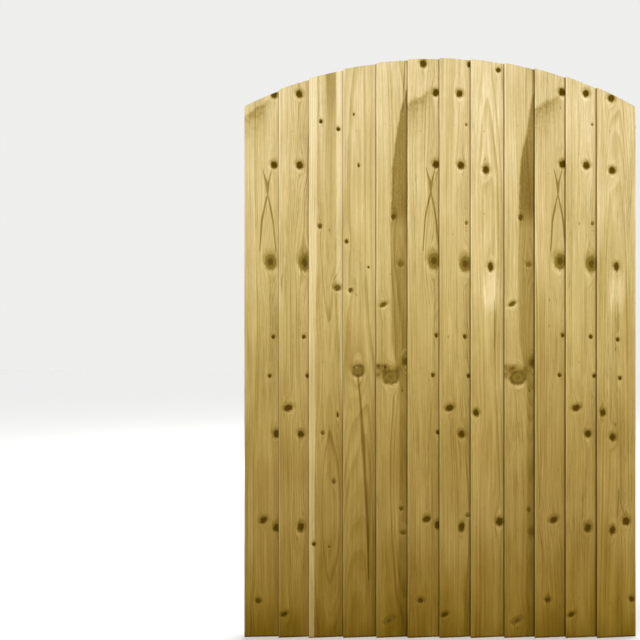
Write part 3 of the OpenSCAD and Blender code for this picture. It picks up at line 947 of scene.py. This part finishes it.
def timber(name, origin, dir_a, dir_c, width, length, filled_at, knots, pith, rings, tone, extra_a=(), extra_b=(), extra_c=(), ends=None, green=0.0, grey=0.0, pale=None, tint=None, figures=(), seed=0):
    """A planed timber. a runs across its face, b through its depth from the boards, c along it. ends(a) gives where it starts and stops along c."""
    dir_a, dir_c, dir_b = np.array(dir_a, float), np.array(dir_c, float), np.array([0.0, 1.0, 0.0])
    flip = np.dot(np.cross(dir_a, dir_b), dir_c) < 0
    fine = (0.5, 1.2, 2.1, 3.0, 4.5)
    xs = spread(0, width, 6.0, fine, extra_a)
    ys = spread(0, DEEP, 9.0, fine, extra_b)
    zs = spread(0 if ends is None else 0, length, 11.0, (0.4, 1.0, 2.2), extra_c)
    filled = filled_at((xs[:-1] + xs[1:]) / 2, (ys[:-1] + ys[1:]) / 2, (zs[:-1] + zs[1:]) / 2)

    def place(a, b, c):
        r = ARRIS * (1 + 0.22 * waves(1300 + seed, (c, 260.0)))
        a2, b2, _ = rounded(a, b, c, width, DEEP, length, r, 0.0001)
        c2 = c
        if ends is not None:
            lo, hi = ends(a2)
            near = 150.0
            c2 = np.where(c < near, lo + (near - lo) * c / near, c)
            c2 = np.where(c > length - near, hi - (hi - (length - near)) * (length - c) / near, c2)
        slack = 0.16 * (1 + waves(1500 + seed, (c2, 420.0), (a2, 120.0)))
        on_back = 1 - smooth(0, 6.0, DEEP - b2)
        on_low = 1 - smooth(0, 6.0, a2)
        on_high = 1 - smooth(0, 6.0, width - a2)
        b3 = b2 - slack * on_back
        a3 = a2 + slack * on_low - slack * on_high
        local = np.stack([a3, b3, c2], 1)
        world = origin + a3[:, None] * dir_a + b3[:, None] * dir_b + c2[:, None] * dir_c
        return local, world, flip

    def facts(local):
        a, b, c = local.T
        kq, kp = knot_facts(a, c, knots)
        pa, pb = pith
        drift = 8 * waves(1700 + seed, (c, 1500.0), octaves=2)
        wp = np.stack([a - pa + drift, b - pb + 0.014 * (c - 600) + 0.6 * drift, c], 1)
        streaky = waves(1900 + seed, (c, 1900.0), (a, 60.0), octaves=3)
        pale_d = np.full(len(a), -60.0) if pale is None else pale(a, b, c)
        worn = np.hypot(np.minimum(a, width - a), np.minimum(b, DEEP - b)) - 0.6
        along_tone = tone[0] + (tone[1] - tone[0]) * c / length
        pc = np.stack([np.full(len(a), 21.0 + seed * 0.83), along_tone, np.full(len(a), rings)], 1)
        if tint is not None:
            streaky = streaky + tint(a, b, c)
        return dict(wp=wp, kq=kq, kp=kp, fg=figure_facts(a, c, figures), hb=np.stack([np.full(len(a), -60.0), pale_d, green + 0.4 * streaky], 1), hk=np.full(len(a), grey), sd=0 * a, pc=pc, worn=worn, nail=np.full(len(a), 40.0))

    return make("timber_" + name, xs, ys, zs, filled, place, frame_wood, name, facts)


def cells(*blocks):
    """filled_at for timber(): the union of boxes ((a0, a1), (b0, b1), (c0, c1)), with a minus sign in front for holes."""

    def filled_at(a, b, c):
        out = np.zeros((len(a), len(b), len(c)), bool)
        for sign, (a0, a1), (b0, b1), (c0, c1) in blocks:
            m = ((a > a0) & (a < a1))[:, None, None] & ((b > b0) & (b < b1))[None, :, None] & ((c > c0) & (c < c1))[None, None, :]
            out = out | m if sign > 0 else out & ~m
        return out

    return filled_at


ALL = (-9e9, 9e9)
hs_lo, hs_hi = (np.array(v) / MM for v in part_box("hinge_stile"))
tr_lo, tr_hi = (np.array(v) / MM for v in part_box("top_rail"))
br_lo, br_hi = (np.array(v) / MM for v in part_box("bottom_rail"))
mr_lo, mr_hi = (np.array(v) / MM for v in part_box("middle_rail"))
STILE = hs_hi[0] - hs_lo[0]
RAIL = tr_hi[2] - tr_lo[2]
MID = mr_hi[2] - mr_lo[2]
HALF_IN = HALF - STILE
TENON = mr_hi[0] - HALF_IN
tall = hs_hi[2] - hs_lo[2]
lap = DEEP / 2
mort_lo = mr_lo[2] + (MID - 50) / 2 - hs_lo[2]


def stile(name, x_in, dir_x, **kw):
    """a runs from the leaf's inside edge outwards, so both stiles share one description."""
    blocks = cells(
        (1, ALL, ALL, ALL),
        (-1, ALL, (lap - SEAM / 2, 9e9), (-9e9, RAIL + SEAM)),
        (-1, ALL, (lap - SEAM / 2, 9e9), (tall - RAIL - SEAM, 9e9)),
        (-1, (-9e9, TENON + 2), (15, 30), (mort_lo, mort_lo + 50)),
    )
    return timber(
        name, np.array([x_in, FACE, hs_lo[2]]), (dir_x, 0, 0), (0, 0, 1), STILE, tall, blocks,
        extra_a=(TENON + 2,), extra_b=(lap - SEAM / 2, 15, 30), extra_c=(RAIL + SEAM, tall - RAIL - SEAM, mort_lo, mort_lo + 50), **kw,
    )


def outer_rail(name, low, **kw):
    blocks = cells(
        (1, ALL, ALL, ALL),
        (-1, ALL, (-9e9, lap + SEAM / 2), (-9e9, STILE + SEAM)),
        (-1, ALL, (-9e9, lap + SEAM / 2), (2 * HALF - STILE - SEAM, 9e9)),
    )
    return timber(
        name, np.array([-HALF, FACE, low]), (0, 0, 1), (1, 0, 0), RAIL, 2 * HALF, blocks,
        extra_b=(lap + SEAM / 2,), extra_c=(STILE + SEAM, 2 * HALF - STILE - SEAM), **kw,
    )


stile(
    "hinge_stile", HALF_IN, 1.0, seed=1, green=0.3, tone=(0.80, 1.23), pith=(14, 112), rings=3.4,
    knots=[(28, 862, 10, 11, 0.3, 1.0, 0), (24, 361, 6, 7, 1.0, 0.5, 0), (58, 1210, 5, 6, 0.9, 0.0, 0)],
    pale=lambda a, b, c: np.minimum(8 + 5 * waves(71, (c, 260.0)) - a, (c - 820) * 0.02),
    tint=lambda a, b, c: 1.6 * smooth(800, 1100, c) * (1 - smooth(18, 44, a)),
    figures=[[(1440, 16, 0, 1.6), (1250, 13, 2, 2.4), (1120, 11, 0, 1.6)], [(870, 9, 3, 2.4), (800, 11, 2, 4.0), (730, 8, 0, 1.2)]],
)
stile(
    "latch_stile", -HALF_IN, -1.0, seed=2, green=0.1, tone=(0.88, 1.12), pith=(56, 140), rings=3.6,
    knots=[(40, 1160, 10, 11, 0.35, 0.95, 0), (24, 640, 6, 7, 1.0, 0.4, 0), (52, 240, 8, 9, 0.8, 0.6, 0)],
    figures=[[(560, 20, 0, 1.2), (420, 17, 1, 2.4), (300, 14, 0, 1.2)]],
)
outer_rail(
    "top_rail", tr_lo[2], seed=3, green=0.0, grey=1.0, tone=(1.22, 0.90), pith=(16, 96), rings=3.8,
    knots=[(36, 367, 24, 10, 0.85, 0.5, 90), (48, 1115, 4, 5, 0.9, 0.2, 0)],
    figures=[[(1085, 20, 0, 1.4), (980, 19, 1, 2.4), (800, 14, 0, 1.4)], [(470, 37, 0, 1.2), (400, 36, 7, 3.0), (330, 36, 7, 3.0), (255, 33, 0, 1.2)]],
)
outer_rail(
    "bottom_rail", br_lo[2], seed=4, green=0.2, grey=1.0, tone=(1.25, 1.21), pith=(44, 104), rings=4.2,
    knots=[(34, 696, 27, 15, 0.95, 0.45, 90), (50, 205, 4, 5, 0.8, 0.2, 0)],
)
blocks = cells(
    (1, ALL, ALL, (TENON, TENON + 2 * HALF_IN)),
    (1, ((MID - 50) / 2, (MID + 50) / 2), (15, 30), ALL),
)
timber(
    "middle_rail", np.array([-HALF_IN - TENON, FACE, mr_lo[2]]), (0, 0, 1), (1, 0, 0), MID, 2 * (HALF_IN + TENON), blocks,
    seed=5, green=0.15, grey=0.4, tone=(0.86, 0.84), pith=(30, 88), rings=3.2,
    knots=[(22, 781, 6, 6, 1.0, 0.8, 0), (50, 300, 9, 8, 0.5, 0.8, 0)],
    extra_a=((MID - 50) / 2, (MID + 50) / 2), extra_b=(15, 30), extra_c=(TENON, TENON + 2 * HALF_IN),
)


def brace(name, line, z_low, z_high, **kw):
    """line is its centre line from the hinge end to the latch end, in x and z."""
    p0, p1 = np.array(line[0], float), np.array(line[1], float)
    d = (p1 - p0) / np.linalg.norm(p1 - p0)
    across = np.array([-d[1], d[0]])
    if across[1] < 0:
        across = -across
    wide = 72.0
    start = p0 - d * 160 - across * wide / 2

    def limits(a):
        """Where each line along the brace enters and leaves the panel."""
        o = start[None, :] + a[:, None] * across[None, :]
        tx = np.sort(np.stack([(HALF_IN - SEAM - o[:, 0]) / d[0], (-HALF_IN + SEAM - o[:, 0]) / d[0]], 1), 1)
        tz = np.sort(np.stack([(z_high - SEAM - o[:, 1]) / d[1], (z_low + SEAM - o[:, 1]) / d[1]], 1), 1)
        return np.maximum(tx[:, 0], tz[:, 0]), np.minimum(tx[:, 1], tz[:, 1])

    grid = np.linspace(0, wide, 721)
    lo, hi = limits(grid)
    peaks = [grid[lo.argmin()], grid[hi.argmax()]]
    start = start + d * (lo.min() - 20)
    length = hi.max() - lo.min() + 40
    return timber(
        name, np.array([start[0], FACE, start[1]]), (across[0], 0, across[1]), (d[0], 0, d[1]), wide, length,
        cells((1, ALL, ALL, ALL)), ends=limits, extra_a=[p for p in peaks if 1 < p < wide - 1], **kw,
    )


UPPER = [(529.0, 1565.4), (-540.1, 886.4)]
LOWER = [(538.5, 147.9), (-531.7, 821.2)]
brace(
    "upper_brace", UPPER, mr_hi[2], tr_lo[2], seed=6, green=0.5, grey=0.2, tone=(1.08, 1.10), pith=(2, 84), rings=2.6,
    knots=[(27, 585, 12, 12, 0.3, 1.0, 0), (14, 752, 5, 6, 0.9, 0.4, 0)],
    figures=[[(120, 26, 6, 1.4), (260, 22, 4, 2.0), (420, 14, 3, 1.6), (540, 10, 0, 1.0)], [(600, 10, 2, 3.0), (650, 12, 3, 4.4), (700, 13, 1, 3.6), (745, 9, 0, 1.5)]],
)
brace(
    "lower_brace", LOWER, br_hi[2], mr_lo[2], seed=7, green=0.2, tone=(1.0, 1.03), pith=(8, 92), rings=2.9,
    knots=[(42, 790, 12, 11, 0.3, 1.0, 0), (32, 280, 7, 7, 1.0, 0.7, 0)],
    figures=[[(480, 10, 0, 1.2), (560, 12, 2, 2.4), (640, 10, 0, 1.0)], [(700, 12, 0, 1.4), (760, 14, 3, 3.4), (840, 18, 0, 1.4)]],
)

# ---------------------------------------------------------------- stage, light, camera
floor_mesh = bpy.data.meshes.new("floor")
ring = [(40 * math.cos(a), 40 * math.sin(a), 0.0) for a in np.linspace(0, 2 * math.pi, 96, endpoint=False)]
floor_mesh.from_pydata(ring, [], [list(range(96))])
floor = bpy.data.objects.new("floor", floor_mesh)
bpy.context.scene.collection.objects.link(floor)
t = Tree("pale_floor")
t.bsdf.inputs["Base Color"].default_value = (0.93, 0.93, 0.925, 1)
t.bsdf.inputs["Roughness"].default_value = 0.9
t.bsdf.inputs["Specular IOR Level"].default_value = 0.1
floor_mesh.materials.append(t.mat)

world = bpy.data.worlds.new("studio")
world.use_nodes = True
w = world.node_tree
w.nodes.clear()
seen, lit, pick, out = (w.nodes.new(n) for n in ("ShaderNodeBackground", "ShaderNodeBackground", "ShaderNodeMixShader", "ShaderNodeOutputWorld"))
seen.inputs[0].default_value, seen.inputs[1].default_value = (1, 1, 0.993, 1), 0.857
lit.inputs[0].default_value, lit.inputs[1].default_value = (1, 1, 1, 1), 0.30
w.links.new(w.nodes.new("ShaderNodeLightPath").outputs["Is Camera Ray"], pick.inputs[0])
w.links.new(lit.outputs[0], pick.inputs[1])
w.links.new(seen.outputs[0], pick.inputs[2])
w.links.new(pick.outputs[0], out.inputs[0])
bpy.context.scene.world = world


KEY, HIGH = 300.0, 1.05


def sun(name, direction, strength, spread_deg):
    lamp = bpy.data.lights.new(name, "SUN")
    lamp.energy, lamp.angle = strength, math.radians(spread_deg)
    o = bpy.data.objects.new(name, lamp)
    o.location = [-6 * v for v in direction]
    o.rotation_euler = mathutils.Vector(direction).to_track_quat("-Z", "Y").to_euler()
    bpy.context.scene.collection.objects.link(o)
    return o


def ball(name, at, radius, power, colour):
    lamp = bpy.data.lights.new(name, "POINT")
    lamp.energy, lamp.shadow_soft_size, lamp.color = power, radius, colour
    o = bpy.data.objects.new(name, lamp)
    o.location = at
    bpy.context.scene.collection.objects.link(o)
    return o


ball("key_front", (0.35, -4.6, 2.0), 0.42, KEY, (1.0, 0.99, 0.97))
ball("key_back", (-0.35, 4.6, 2.0), 0.42, KEY, (1.0, 0.99, 0.97))
sun("high_front", (0.15, 0.28, -0.94), HIGH, 24)
sun("high_back", (-0.15, -0.28, -0.94), HIGH, 24)

cam = bpy.data.cameras.new("camera")
cam.sensor_width = 36.0
view_w = 640 / 392.2 * 2 * HALF * MM
plane_y = cad_box[0][1] + 0.010
away = 3.0
cam.lens = 36.0 * away / view_w
cam.shift_x = -(440.3 - 320) / 640
cam.shift_y = (347.9 - 320) / 640
camera = bpy.data.objects.new("camera", cam)
camera.location = (0, plane_y - away, CROWN * MM / 2)
camera.rotation_euler = (math.pi / 2, 0, 0)
bpy.context.scene.collection.objects.link(camera)
bpy.context.scene.camera = camera
bpy.context.scene.view_settings.view_transform = "Standard"
bpy.context.scene.view_settings.look = "None"
